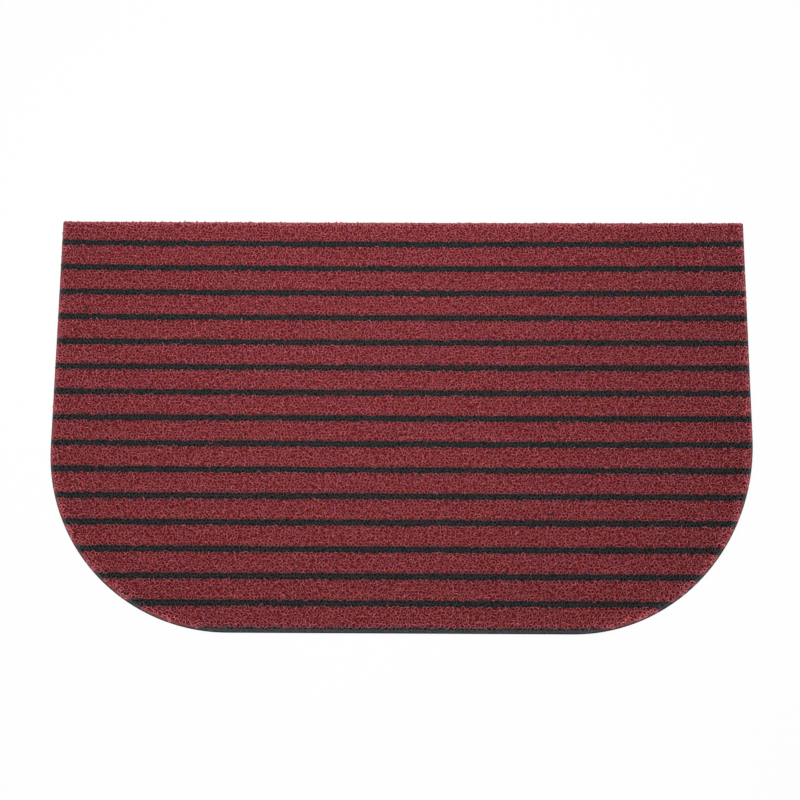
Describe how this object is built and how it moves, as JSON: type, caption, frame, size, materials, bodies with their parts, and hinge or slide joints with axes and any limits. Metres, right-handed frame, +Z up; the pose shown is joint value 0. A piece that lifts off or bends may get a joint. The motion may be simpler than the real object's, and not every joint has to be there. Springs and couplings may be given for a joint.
{
  "type": "half-round doormat",
  "caption": "Flat half-round doormat with a straight far edge and large round near corners: short curled-loop striped pile on a thin backing, to wipe shoes on.",
  "frame": {"origin": "on the floor, under the middle of the mat's bounding box", "axes": "+X along the straight edge, to the right as seen from the rounded side; +Y towards the straight edge; +Z up, out of the pile"},
  "size_m": [0.75, 0.45, 0.008],
  "materials": {
    "pile_red": "matte curled loops of thick synthetic yarn in mottled dark red, with small dark hollows between them",
    "pile_charcoal": "the same curled loops in charcoal, in narrow stripes across the mat",
    "backing": "matte charcoal sheet, finely pebbled underneath so that it grips the floor"
  },
  "bodies": {
    "root": {"backing": "backing", "pile": "pile_red"}
  },
  "joints": []
}
